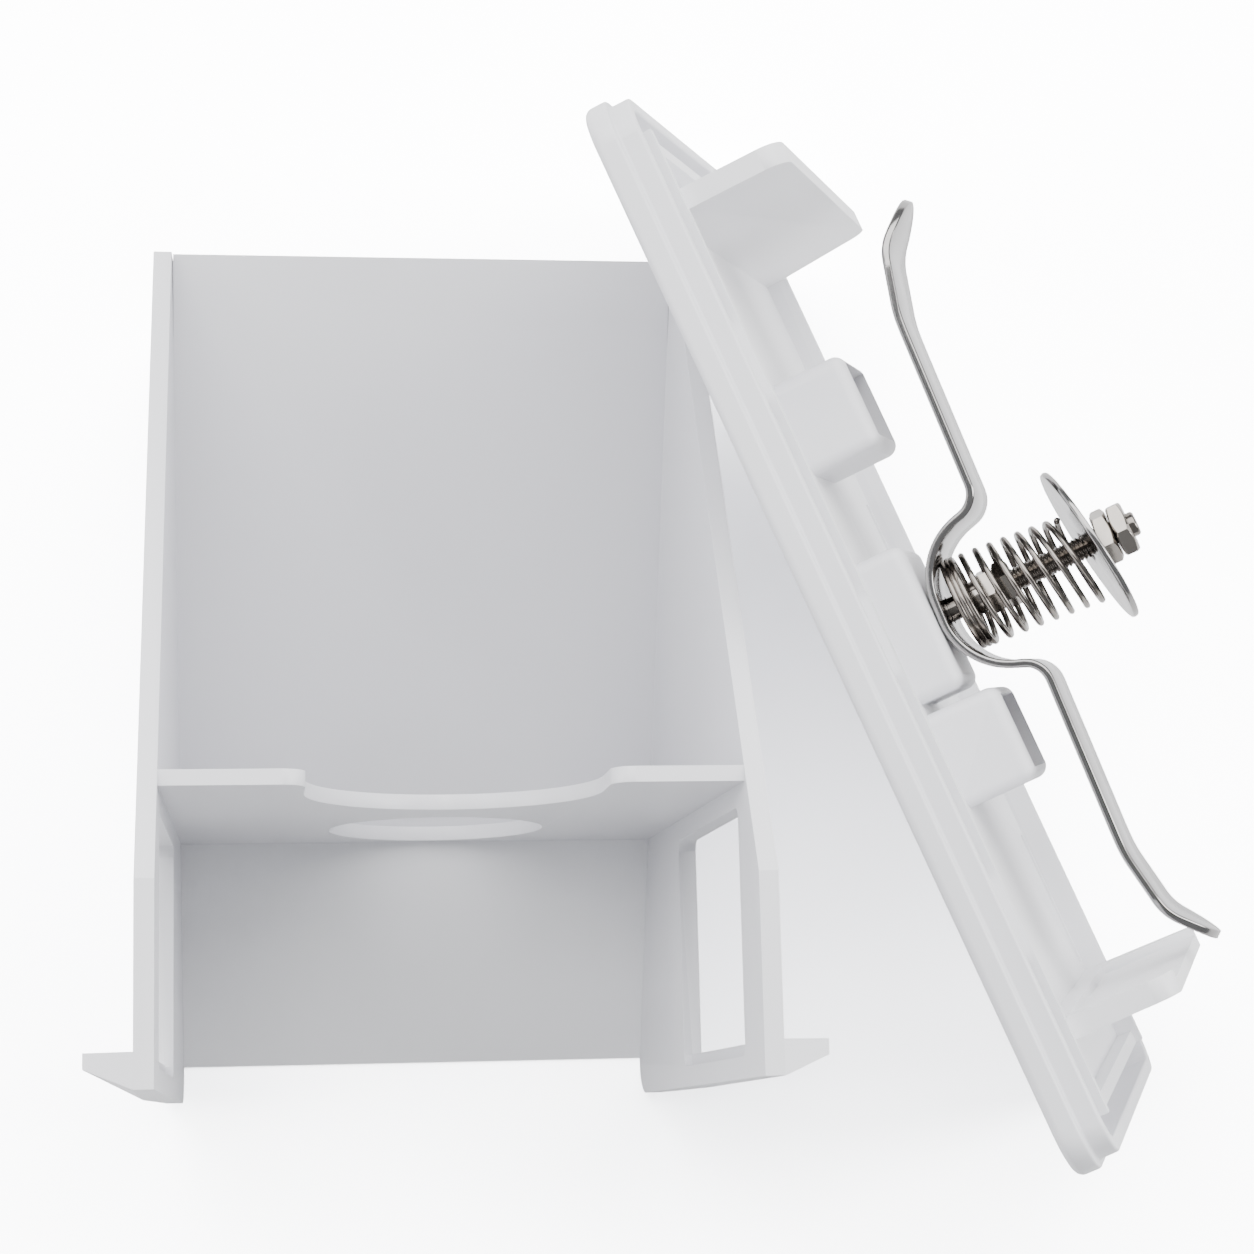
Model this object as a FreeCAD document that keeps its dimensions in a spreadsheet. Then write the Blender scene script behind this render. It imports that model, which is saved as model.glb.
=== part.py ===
"""Hopper tray with its loose cover and spring clamp, as one parametric document.

Frame: +Z up from the floor, +X across the tray, +Y from the tray's feet to its top.
The tray lies on the rear edges of its two cheeks. The cover stands on one long edge
beside it and leans on the tray's upper corner. The cover's own pieces are drawn flat,
in a local frame: x along the cover, y up its lean, z out of its back towards the
clamp. Their common placement stands them up.
"""
import FreeCAD, Part
import math
import os

import Sketcher
from FreeCAD import Placement, Rotation, Vector

SIZES = [
    # the tray
    ("cheek_gap_rear", 90.4, "inside width of the tray at its rear edges"),
    ("cheek_gap_front", 98.0, "inside width at the foot of the front edges"),
    ("tray_depth", 118.0, "rear edges to front edges, at the feet"),
    ("tray_wall", 3.3, "thickness of each cheek"),
    ("tray_top", 149.6, "height of the top edge above the foot line"),
    ("knee_rise", 27.4, "height where the front edge starts to slope back"),
    ("top_front", 59.0, "where the front edge meets the top, from the rear plane"),
    ("sole_drop", 6.0, "how far the cheeks reach below the foot line"),
    ("sole_round", 6.0, "radius of the lower rear corner of a cheek"),
    ("top_round", 1.6, "radius of the upper corners of a cheek"),
    ("panel_slope", 0.38, "forward run of the sloping panel per unit of height"),
    ("panel_sheet", 3.0, "thickness of the sloping panel, measured front to back"),
    ("panel_foot", 1.0, "height of the panel's lower edge"),
    ("shelf_rise", 46.0, "height of the shelf's upper face"),
    ("shelf_sheet", 2.7, "thickness of the shelf"),
    ("outlet_bore", 40.0, "diameter of the round outlet in the shelf"),
    ("outlet_depth", 39.0, "outlet's centre from the rear plane"),
    ("outlet_offset", 2.0, "outlet's centre from the middle of the tray"),
    ("notch_half", 25.5, "half width of the scoop in the shelf's front edge"),
    ("notch_depth", 38.0, "depth of that scoop"),
    ("notch_corner", 4.0, "radius where the scoop meets the front edge"),
    ("window_rear", 48.0, "rear edge of a side window, from the rear plane"),
    ("window_front", 102.6, "front edge of a side window"),
    ("window_head", 39.6, "top of a side window"),
    ("window_foot", -2.2, "bottom of a side window"),
    ("window_round", 2.0, "corner radius of a side window"),
    ("toe_reach", 8.0, "how far a toe stands out from its cheek"),
    ("toe_sheet", 2.6, "thickness of a toe at its outer edge"),
    ("toe_front", 6.0, "distance of the toe's tip behind the front edge"),
    # the cover
    ("cover_length", 203.0, "length of the cover"),
    ("cover_width", 119.0, "width of the cover"),
    ("cover_round", 9.0, "corner radius of the cover in plan"),
    ("flange_rise", 4.5, "thickness of the cover's edge flange"),
    ("rim_rise", 8.4, "height of the cover's rim above its front face"),
    ("rim_inset", 1.4, "step from the flange to the rim"),
    ("rim_wall", 2.6, "thickness of the rim"),
    ("cover_sheet", 3.0, "thickness of the cover's face"),
    ("cover_edge", 1.6, "rounding of the cover's front edge"),
    # the clamp carrier
    ("carrier_end", 8.0, "gap from the cover's ends to the carrier"),
    ("end_rail_rise", 8.0, "height of the rails across the carrier's ends"),
    ("carrier_side", 8.0, "gap from the cover's sides to the carrier"),
    ("carrier_sheet", 2.0, "thickness of the carrier's base"),
    ("rail_sheet", 2.5, "thickness of the carrier's side rails"),
    ("rail_rise", 9.3, "height of the side rails above the front face"),
    ("plate_low", 23.2, "middle of the lower end plate"),
    ("plate_high", 181.5, "middle of the upper end plate"),
    ("plate_sheet", 4.0, "thickness of an end plate"),
    ("plate_recess", 1.6, "depth of the recess in the lower end plate"),
    ("recess_far", 22.0, "lower side of that recess"),
    ("recess_near", 104.0, "upper side of that recess"),
    ("plate_rise", 28.7, "height of the end plates"),
    ("plate_far", 9.0, "lower side of an end plate at its root"),
    ("plate_near", 109.0, "upper side of an end plate"),
    ("plate_taper", 8.5, "how far the lower side leans in towards the top"),
    ("plate_round", 4.5, "corner radius of an end plate"),
    ("guide_low", 73.6, "middle of the lower guide block"),
    ("guide_high", 141.4, "middle of the upper guide block"),
    ("guide_length", 18.8, "length of a guide block"),
    ("guide_width", 27.0, "width of a guide block and of the saddle"),
    ("guide_rise", 19.0, "height of the guide blocks"),
    ("guide_wall", 2.0, "wall of a guide block"),
    ("guide_round", 2.4, "radius of the outer corners of a guide block and of the saddle"),
    ("boss_length", 28.8, "length of the saddle under the strap"),
    ("boss_rise", 14.0, "height of the saddle"),
    ("snap_pitch", 52.8, "spacing of the snap tabs"),
    ("snap_length", 15.0, "length of a snap tab"),
    ("snap_rise", 2.5, "height of a snap tab above the base"),
    ("snap_gap", 0.2, "clearance of a snap tab to the rim"),
    ("slot_width", 3.6, "width of the slots beside the rails"),
    # the clamp
    ("axis_along", 99.5, "clamp axis, from the cover's lower end"),
    ("screw_bore", 4.76, "diameter of the clamp screw"),
    ("screw_gap", 0.08, "radial clearance of the strap's hole and the saddle's bore"),
    ("head_bore", 9.4, "diameter of the screw's head"),
    ("head_sheet", 3.6, "thickness of the screw's head"),
    ("head_gap", 0.3, "clearance round the screw's head"),
    ("screw_end", 54.2, "height of the screw's free end"),
    ("strap_sheet", 1.6, "thickness of the strap"),
    ("strap_width", 24.0, "width of the strap, and diameter of its round ends"),
    ("strap_seat", 0.3, "gap between the saddle and the middle of the strap"),
    ("strap_tilt", 2.4, "how far the strap tips along the cover, degrees"),
    ("strap_bowl", 13.0, "bend radius of the cupped middle"),
    ("strap_cup", 11.5, "half length of the strap's cupped middle"),
    ("strap_shoulder", 15.8, "half length over the strap's shoulders"),
    ("strap_step", 14.0, "rise of the arms above the cup"),
    ("strap_arm", 54.0, "half length over the straight arms"),
    ("strap_tip", 74.4, "half length over the tips"),
    ("strap_flare", 9.5, "rise of the tips above the arms"),
    ("coil_outer", 18.5, "outer diameter of the spring"),
    ("coil_wire", 1.2, "wire of the spring"),
    ("coil_turns", 10.0, "turns of the spring"),
    ("coil_gap", 0.75, "gap at each end of the spring"),
    ("disc_bore", 5.6, "hole of the end washer"),
    ("disc_outer", 31.8, "outer diameter of the end washer"),
    ("disc_sheet", 1.2, "thickness of the end washer"),
    ("disc_height", 44.6, "height of the end washer's middle"),
    ("disc_tip_along", 8.2, "tilt of the end washer along the cover, degrees"),
    ("disc_tip_across", 8.0, "tilt of the end washer across the cover, degrees"),
    ("nut_flats", 9.5, "width across flats of the two outer nuts"),
    ("nut_sheet", 3.0, "thickness of a nut"),
    ("nut_gap", 0.25, "gap between neighbouring nuts"),
    ("sleeve_outer", 6.6, "outer diameter of the spacer sleeve"),
    ("sleeve_low", 19.6, "lower end of the spacer sleeve"),
    ("sleeve_sheet", 3.0, "length of the spacer sleeve"),
    ("small_flats", 8.0, "width across flats of the two inner nuts"),
    # how the cover stands
    ("stand_x", 144.62, "cover's lower front corner, across the tray"),
    ("stand_y", -6.9, "the same corner, along the tray"),
    ("stand_turn", 23.15, "turn of the cover about the vertical, degrees"),
    ("stand_lean", 22.8, "lean of the cover from the vertical, degrees"),
]

doc = FreeCAD.newDocument("hopper_tray")
sheet = doc.addObject("Spreadsheet::Sheet", "sheet")
for row, (alias, number, meaning) in enumerate(SIZES, start=1):
    sheet.set("A%d" % row, alias)
    sheet.set("B%d" % row, str(number))
    sheet.setAlias("B%d" % row, alias)
    sheet.set("C%d" % row, meaning)
doc.recompute()


class Size:
    """A number together with the expression over the sheet that gives it."""

    def __init__(self, value, text):
        self.value = float(value)
        self.text = text

    def join(self, other, sign, result):
        other = other if isinstance(other, Size) else Size(other, "%.9g" % other)
        text = "(%s %s %s)" % (self.text, sign, other.text)
        return Size(result(self.value, other.value), text)

    def __add__(self, other):
        return self.join(other, "+", lambda a, b: a + b)

    def __sub__(self, other):
        return self.join(other, "-", lambda a, b: a - b)

    def __mul__(self, other):
        return self.join(other, "*", lambda a, b: a * b)

    def __truediv__(self, other):
        return self.join(other, "/", lambda a, b: a / b)

    def __neg__(self):
        return Size(0, "0") - self


def size(alias):
    return Size(getattr(sheet, alias), "sheet." + alias)


ZERO = Size(0, "0")
S = {alias: size(alias) for alias, number, meaning in SIZES}


# ---------------------------------------------------------------- sketch helpers

def new_body(label):
    body = doc.addObject("PartDesign::Body", label)
    body.Label = label
    return body


def new_sketch(body, name, plane, lift=ZERO):
    """Sketch on one of the body's own origin planes, raised by lift along its normal."""
    support = [f for f in body.Origin.OriginFeatures if f.Role == plane][0]
    sketch = body.newObject("Sketcher::SketchObject", name)
    sketch.AttachmentSupport = [(support, "")]
    sketch.MapMode = "FlatFace"
    sketch.AttachmentOffset = Placement(Vector(0, 0, lift.value), Rotation())
    sketch.setExpression("AttachmentOffset.Base.z", lift.text)
    return sketch


def pin_point(sketch, index, end, along, up):
    """Fix one end of a sketch edge by its two distances from the sketch's origin."""
    for kind, measure in (("DistanceX", along), ("DistanceY", up)):
        at = sketch.addConstraint(Sketcher.Constraint(kind, -1, 1, index, end, measure.value))
        sketch.setExpression("Constraints[%d]" % at, measure.text)


def loop(sketch, corners):
    """Closed outline of straight edges through corners given as pairs of sizes."""
    first = sketch.GeometryCount
    for here, there in zip(corners, corners[1:] + corners[:1]):
        start = Vector(here[0].value, here[1].value, 0)
        stop = Vector(there[0].value, there[1].value, 0)
        sketch.addGeometry(Part.LineSegment(start, stop))
    count = len(corners)
    for step in range(count):
        after = first + (step + 1) % count
        sketch.addConstraint(Sketcher.Constraint("Coincident", first + step, 2, after, 1))
        pin_point(sketch, first + step, 1, corners[step][0], corners[step][1])


def rectangle(sketch, x0, x1, y0, y1):
    loop(sketch, [(x0, y0), (x1, y0), (x1, y1), (x0, y1)])


def ring(sketch, along, up, diameter):
    """Full circle of a given diameter about a point."""
    centre = Vector(along.value, up.value, 0)
    index = sketch.addGeometry(Part.Circle(centre, Vector(0, 0, 1), diameter.value / 2))
    pin_point(sketch, index, 3, along, up)
    at = sketch.addConstraint(Sketcher.Constraint("Diameter", index, diameter.value))
    sketch.setExpression("Constraints[%d]" % at, diameter.text)


def hexagon(sketch, along, up, flats):
    """Regular hexagon about a point, two flats square to the sketch's x axis."""
    apothem = flats / 2
    corner = flats / math.sqrt(3)
    half = flats / (2 * math.sqrt(3))
    loop(sketch, [(along + apothem, up - half), (along + apothem, up + half),
                  (along, up + corner), (along - apothem, up + half),
                  (along - apothem, up - half), (along, up - corner)])


def pad(body, name, sketch, length, both_ways=False, reverse=False):
    feature = body.newObject("PartDesign::Pad", name)
    feature.Profile = sketch
    feature.SideType = "Symmetric" if both_ways else "One side"
    feature.Reversed = reverse
    feature.Length = length.value
    feature.setExpression("Length", length.text)
    return feature


def pocket(body, name, sketch, length, both_ways=False, reverse=False):
    feature = body.newObject("PartDesign::Pocket", name)
    feature.Profile = sketch
    feature.SideType = "Symmetric" if both_ways else "One side"
    feature.Reversed = reverse
    feature.Length = length.value
    feature.setExpression("Length", length.text)
    doc.recompute()
    return feature


def fillet(body, name, radius, wanted):
    """Round every edge of the body's present shape that the test wanted accepts."""
    doc.recompute()
    base = body.Tip
    edges = ["Edge%d" % (i + 1) for i, edge in enumerate(base.Shape.Edges) if wanted(edge)]
    if not edges:
        raise ValueError("no edge to round for " + name)
    feature = body.newObject("PartDesign::Fillet", name)
    feature.Base = (base, edges)
    feature.Radius = radius.value
    feature.setExpression("Radius", radius.text)
    return feature


def straight(edge, axis):
    """True for a straight edge along the given unit axis."""
    if edge.Curve.TypeId != "Part::GeomLine":
        return False
    return abs(abs(edge.tangentAt(edge.FirstParameter).dot(axis)) - 1) < 1e-4


def near(a, b, slack=0.05):
    return abs(a - b) < slack


X_AXIS = Vector(1, 0, 0)
Y_AXIS = Vector(0, 1, 0)
Z_AXIS = Vector(0, 0, 1)


# ---------------------------------------------------------------- the tray

def make_tray():
    """One moulding: two cheeks joined by a sloping panel and a shelf, with two toes.

    In plan the cheeks spread towards the front. Sketches on XZ_Plane use x and z with
    their normal along -Y, so a height y is a lift of -y. Sketches on YZ_Plane use y, z.
    """
    body = new_body("tray")
    rear = S["cheek_gap_rear"] / 2
    front = S["cheek_gap_front"] / 2
    wall = S["tray_wall"]
    depth = S["tray_depth"]
    height = S["tray_top"] + S["sole_drop"]
    reach = depth * 4

    for name, side in (("left", -1), ("right", 1)):
        cheek = new_sketch(body, name + "_cheek_plan", "XZ_Plane", S["sole_drop"])
        loop(cheek, [(rear * side, ZERO), (front * side, depth),
                     ((front + wall) * side, depth), ((rear + wall) * side, ZERO)])
        pad(body, name + "_cheek", cheek, height, reverse=True)

    run = S["panel_slope"]
    top = S["tray_top"]
    foot = S["panel_foot"]
    sheet_run = S["panel_sheet"]
    bury = wall / 2
    panel = new_sketch(body, "panel_side", "YZ_Plane")
    loop(panel, [(foot, run * foot), (top, run * top),
                 (top, run * top - sheet_run), (foot, run * foot - sheet_run + 3)])
    pad(body, "panel", panel, (rear + bury) * 2, both_ways=True)

    shelf = new_sketch(body, "shelf_plan", "XZ_Plane", -S["shelf_rise"])
    shelf_front = depth - (S["shelf_rise"] - S["knee_rise"]) * (depth - S["top_front"]) / (
        S["tray_top"] - S["knee_rise"])
    shelf_rear = run * S["shelf_rise"] - sheet_run / 2
    loop(shelf, [(-(rear + bury), shelf_rear), (rear + bury, shelf_rear),
                 (front + bury / 2, shelf_front), (-(front + bury / 2), shelf_front)])
    pad(body, "shelf", shelf, S["shelf_sheet"])

    outlet = new_sketch(body, "outlet_plan", "XZ_Plane", -(S["shelf_rise"] + 2))
    ring(outlet, S["outlet_offset"], S["outlet_depth"], S["outlet_bore"])
    pocket(body, "outlet", outlet, S["shelf_sheet"] + 4, reverse=True)

    scoop = new_sketch(body, "scoop_plan", "XZ_Plane", -(S["shelf_rise"] + 2))
    half = S["notch_half"]
    mid = S["outlet_offset"] / 2
    notch_floor = shelf_front - S["notch_depth"] + half
    rectangle(scoop, mid - half, mid + half, notch_floor, shelf_front + 5)
    pocket(body, "scoop_throat", scoop, S["shelf_sheet"] + 4, reverse=True)
    bowl = new_sketch(body, "bowl_plan", "XZ_Plane", -(S["shelf_rise"] + 2))
    ring(bowl, mid, notch_floor, half * 2)
    pocket(body, "scoop_bowl", bowl, S["shelf_sheet"] + 4, reverse=True)

    fillet(body, "scoop_corners", S["notch_corner"], lambda e: straight(e, Y_AXIS)
           and near(e.CenterOfMass.z, shelf_front.value)
           and near(abs(e.CenterOfMass.x - mid.value), half.value))

    # everything outside the cheek's outline is cut away, seen from the side
    outline = new_sketch(body, "cheek_outline", "YZ_Plane")
    big = depth * 3
    rectangle(outline, -big, big, -big, big)
    loop(outline, [(-S["sole_drop"], ZERO), (-S["sole_drop"], depth),
                   (S["knee_rise"], depth), (top, S["top_front"]), (top, ZERO)])
    pocket(body, "cheek_trim", outline, reach, both_ways=True)

    window = new_sketch(body, "window_side", "YZ_Plane")
    rectangle(window, S["window_foot"], S["window_head"], S["window_rear"], S["window_front"])
    pocket(body, "windows", window, reach, both_ways=True)

    fillet(body, "window_corners", S["window_round"], lambda e: straight(e, X_AXIS)
           and e.Length < 2 * wall.value
           and (near(e.CenterOfMass.y, S["window_foot"].value)
                or near(e.CenterOfMass.y, S["window_head"].value))
           and (near(e.CenterOfMass.z, S["window_rear"].value)
                or near(e.CenterOfMass.z, S["window_front"].value)))
    fillet(body, "upper_corners", S["top_round"], lambda e: straight(e, X_AXIS)
           and e.Length < 2 * wall.value and near(e.CenterOfMass.y, top.value)
           and (near(e.CenterOfMass.z, S["top_front"].value) or near(e.CenterOfMass.z, 0)))

    toe_top = ZERO
    for name, side in (("left", -1), ("right", 1)):
        toe = new_sketch(body, name + "_toe_plan", "XZ_Plane", toe_top)
        loop(toe, [((front + bury) * side, depth), ((front + wall) * side, depth),
                   ((front + wall + S["toe_reach"]) * side, depth - S["toe_front"] / 2),
                   ((front + wall + S["toe_reach"]) * side, depth - S["toe_front"]),
                   ((rear + wall) * side, S["sole_round"]),
                   ((rear + bury) * side, S["sole_round"])])
        pad(body, name + "_toe", toe, S["sole_drop"])
        under = new_sketch(body, name + "_toe_under", "XY_Plane")
        drop = -S["sole_drop"]
        loop(under, [((front + wall) * side, drop), ((front + wall + S["toe_reach"] + 2) * side, drop),
                     ((front + wall + S["toe_reach"] + 2) * side, -S["toe_sheet"]),
                     ((front + wall + S["toe_reach"]) * side, -S["toe_sheet"])])
        pocket(body, name + "_toe_slope", under, reach, both_ways=True)

    fillet(body, "rear_sole_round", S["sole_round"], lambda e: straight(e, X_AXIS)
           and near(e.CenterOfMass.y, -S["sole_drop"].value) and near(e.CenterOfMass.z, 0)
           and e.Length < 2 * wall.value)
    return body


# ---------------------------------------------------------------- the cover

def make_cover():
    """Shallow cover: a face, an edge flange and a rim set in from the flange."""
    body = new_body("face_cover")
    long, wide = S["cover_length"], S["cover_width"]
    inset = S["rim_inset"]
    inner = inset + S["rim_wall"]

    rim = new_sketch(body, "rim_plan", "XY_Plane")
    rectangle(rim, inset, long - inset, inset, wide - inset)
    pad(body, "rim", rim, S["rim_rise"])
    fillet(body, "rim_corners", S["cover_round"] - inset, lambda e: straight(e, Z_AXIS))
    flange = new_sketch(body, "flange_plan", "XY_Plane")
    rectangle(flange, ZERO, long, ZERO, wide)
    pad(body, "flange", flange, S["flange_rise"])
    fillet(body, "flange_corners", S["cover_round"], lambda e: straight(e, Z_AXIS)
           and near(e.BoundBox.ZMin, 0))
    fillet(body, "front_edge", S["cover_edge"], lambda e: near(e.BoundBox.ZMax, 0)
           and near(e.BoundBox.ZMin, 0))

    recess = new_sketch(body, "recess_plan", "XY_Plane", S["rim_rise"])
    rectangle(recess, inner, long - inner, inner, wide - inner)
    pocket(body, "recess", recess, S["rim_rise"] - S["cover_sheet"])
    fillet(body, "recess_corners", S["cover_round"] - inner, lambda e: straight(e, Z_AXIS)
           and near(e.BoundBox.ZMin, S["cover_sheet"].value))
    return body


# ---------------------------------------------------------------- the carrier

def block_corner(edge, half_wide):
    """Whether an edge is an outer corner of a guide block or of the saddle.

    Such an edge lies on the block's side face, half_wide from the middle, above the base.
    It is upright, or it runs along the block's top at |y - mid| = half_wide, or it is a
    top edge across the block with its middle on the centre line.
    """
    spot = edge.CenterOfMass
    off = abs(spot.y - S["cover_width"].value / 2)
    base = (S["cover_sheet"] + S["carrier_sheet"]).value
    tall = near(spot.z, S["guide_rise"].value) or near(spot.z, S["boss_rise"].value)
    upright = straight(edge, Z_AXIS) and near(off, half_wide) and spot.z > base + 2
    across = straight(edge, Y_AXIS) and near(off, 0) and near(edge.Length, half_wide * 2)
    along = straight(edge, X_AXIS) and near(off, half_wide)
    return upright or (tall and (across or along))


def make_carrier():
    """Insert that snaps into the cover: base, two rails, end plates, guides, saddle."""
    body = new_body("clamp_carrier")
    end, side = S["carrier_end"], S["carrier_side"]
    long, wide = S["cover_length"], S["cover_width"]
    floor = S["cover_sheet"]
    top_of_base = floor + S["carrier_sheet"]
    mid = wide / 2

    base = new_sketch(body, "base_plan", "XY_Plane", floor)
    rectangle(base, end, long - end, side, wide - side)
    pad(body, "base", base, S["carrier_sheet"])

    rail = S["rail_sheet"]
    for name, y0, y1 in (("low", side, side + rail), ("high", wide - side - rail, wide - side)):
        plan = new_sketch(body, name + "_rail_plan", "XY_Plane", floor)
        rectangle(plan, end, long - end, y0, y1)
        pad(body, name + "_rail", plan, S["rail_rise"] - floor)
    for name, x0, x1 in (("low", end, end + rail), ("high", long - end - rail, long - end)):
        plan = new_sketch(body, name + "_end_rail_plan", "XY_Plane", floor)
        rectangle(plan, x0, x1, side, wide - side)
        pad(body, name + "_end_rail", plan, S["end_rail_rise"] - floor)

    for name, where in (("low", S["plate_low"]), ("high", S["plate_high"])):
        plate = new_sketch(body, name + "_plate_side", "YZ_Plane", where)
        loop(plate, [(S["plate_far"], floor), (S["plate_near"], floor),
                     (S["plate_near"], S["plate_rise"]),
                     (S["plate_far"] + S["plate_taper"], S["plate_rise"])])
        pad(body, name + "_plate", plate, S["plate_sheet"], both_ways=True)
    fillet(body, "plate_corners", S["plate_round"], lambda e: straight(e, X_AXIS)
           and near(e.CenterOfMass.z, S["plate_rise"].value))

    recess = new_sketch(body, "plate_recess_side", "YZ_Plane", S["plate_low"] + S["plate_sheet"] / 2)
    rectangle(recess, S["recess_far"], S["recess_near"], S["rail_rise"], S["plate_rise"] + 2)
    pocket(body, "plate_recess", recess, S["plate_recess"])

    hollow = S["guide_wall"]
    half_long, half_wide = S["guide_length"] / 2, S["guide_width"] / 2
    half_saddle = S["boss_length"] / 2
    guides = (("low", S["guide_low"]), ("high", S["guide_high"]))
    for name, where in guides:
        block = new_sketch(body, name + "_guide_plan", "XY_Plane", floor)
        rectangle(block, where - half_long, where + half_long, mid - half_wide, mid + half_wide)
        pad(body, name + "_guide", block, S["guide_rise"] - floor)
    saddle = new_sketch(body, "saddle_plan", "XY_Plane", floor)
    rectangle(saddle, S["axis_along"] - half_saddle, S["axis_along"] + half_saddle,
              mid - half_wide, mid + half_wide)
    pad(body, "saddle", saddle, S["boss_rise"] - floor)
    fillet(body, "guide_corners", S["guide_round"], lambda e: block_corner(e, half_wide.value))
    for name, where in guides:
        well = new_sketch(body, name + "_guide_well_plan", "XY_Plane", S["guide_rise"])
        rectangle(well, where - half_long + hollow, where + half_long - hollow,
                  mid - half_wide + hollow, mid + half_wide - hollow)
        pocket(body, name + "_guide_well", well, S["guide_rise"] - top_of_base)

    reach = side - S["rim_inset"] - S["rim_wall"] - S["snap_gap"]
    centre = long / 2 - 4
    for step in (-1, 0, 1):
        where = centre + S["snap_pitch"] * step
        for name, y0, y1 in (("low", side - reach, side), ("high", wide - side, wide - side + reach)):
            tab = new_sketch(body, "%s_tab_%d_plan" % (name, step + 2), "XY_Plane", floor)
            rectangle(tab, where - S["snap_length"] / 2, where + S["snap_length"] / 2, y0, y1)
            pad(body, "%s_tab_%d" % (name, step + 2), tab, S["snap_rise"] + S["carrier_sheet"])

    slot_low = S["plate_low"] + S["plate_sheet"]
    for name, x0, x1 in (("low", slot_low, slot_low + 28), ("high", S["guide_high"] - 24,
                                                           S["guide_high"] - 12)):
        for edge, y0 in (("a", side + rail + 1), ("b", wide - side - rail - 1 - S["slot_width"])):
            slot = new_sketch(body, "%s_slot_%s_plan" % (name, edge), "XY_Plane", top_of_base)
            rectangle(slot, x0, x1, y0, y0 + S["slot_width"])
            pocket(body, "%s_slot_%s" % (name, edge), slot, S["carrier_sheet"])

    bore = new_sketch(body, "bore_plan", "XY_Plane", S["boss_rise"])
    ring(bore, S["axis_along"], mid, S["screw_bore"] + S["screw_gap"] * 2)
    pocket(body, "bore", bore, S["boss_rise"] - floor)
    nest = new_sketch(body, "head_nest_plan", "XY_Plane", floor)
    ring(nest, S["axis_along"], mid, S["head_bore"] + S["head_gap"] * 2)
    pocket(body, "head_nest", nest, S["head_sheet"] + S["head_gap"], reverse=True)
    return body


# ---------------------------------------------------------------- the clamp

def make_screw():
    """Clamp screw: a flat head under the saddle and a long shank along the clamp axis."""
    body = new_body("clamp_screw")
    x, y = S["axis_along"], S["cover_width"] / 2
    seat = S["cover_sheet"] + S["head_gap"]
    head = new_sketch(body, "head_plan", "XY_Plane", seat)
    ring(head, x, y, S["head_bore"])
    pad(body, "head", head, S["head_sheet"])
    shank = new_sketch(body, "shank_plan", "XY_Plane", seat)
    ring(shank, x, y, S["screw_bore"])
    pad(body, "shank", shank, S["screw_end"] - seat)
    doc.recompute()
    tip = body.newObject("PartDesign::Chamfer", "tip")
    edges = ["Edge%d" % (i + 1) for i, edge in enumerate(body.Shape.Edges)
             if near(edge.BoundBox.ZMin, S["screw_end"].value)]
    tip.Base = (body.getObject("shank"), edges)
    tip.Size = (S["screw_bore"] / 6).value
    tip.setExpression("Size", (S["screw_bore"] / 6).text)
    return body


def make_ring(label, low, sheet_size, bore, outer=None, flats=None):
    """Round or hexagonal piece on the screw: an outline padded, then bored."""
    body = new_body(label)
    x, y = S["axis_along"], S["cover_width"] / 2
    plan = new_sketch(body, label + "_plan", "XY_Plane", low)
    if flats is None:
        ring(plan, x, y, outer)
    else:
        hexagon(plan, x, y, flats)
    ring(plan, x, y, bore)
    pad(body, label + "_solid", plan, sheet_size)
    return body


def make_washer():
    """Wide end washer, drawn about the origin and tipped on the screw."""
    body = new_body("end_washer")
    plan = new_sketch(body, "washer_plan", "XY_Plane", -S["disc_sheet"] / 2)
    ring(plan, ZERO, ZERO, S["disc_outer"])
    ring(plan, ZERO, ZERO, S["disc_bore"])
    pad(body, "washer_solid", plan, S["disc_sheet"])
    return body


def arc_path(points, radii):
    """Centre line of straight runs joined by tangent arcs: list of runs and arcs."""
    pieces = []
    start = points[0]
    for before, corner, after, radius in zip(points, points[1:], points[2:], radii):
        come = (corner - before).normalize()
        leave = (after - corner).normalize()
        turn = come.getAngle(leave)
        back = radius * math.tan(turn / 2)
        enter, out = corner - come * back, corner + leave * back
        side = Y_AXIS.cross(come) if Y_AXIS.cross(come).dot(leave) > 0 else come.cross(Y_AXIS)
        pieces.append(("run", start, enter))
        pieces.append(("arc", enter, out, enter + side * radius))
        start = out
    pieces.append(("run", start, points[-1]))
    return pieces


def offset_edges(pieces, distance):
    """The centre line's edges moved sideways by distance, in the xz plane."""
    edges = []
    for piece in pieces:
        if piece[0] == "run":
            side = Y_AXIS.cross((piece[2] - piece[1]).normalize()) * distance
            edges.append(Part.makeLine(piece[1] + side, piece[2] + side))
            last = piece[2] - piece[1]
        else:
            kind, enter, out, centre = piece
            side = Y_AXIS.cross(Vector(last).normalize()) * distance
            radius = (enter + side - centre).Length
            middle = ((enter - centre).normalize() + (out - centre).normalize()).normalize()
            first = centre + (enter - centre).normalize() * radius
            final = centre + (out - centre).normalize() * radius
            edges.append(Part.Arc(first, centre + middle * radius, final).toShape())
    return edges


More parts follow.
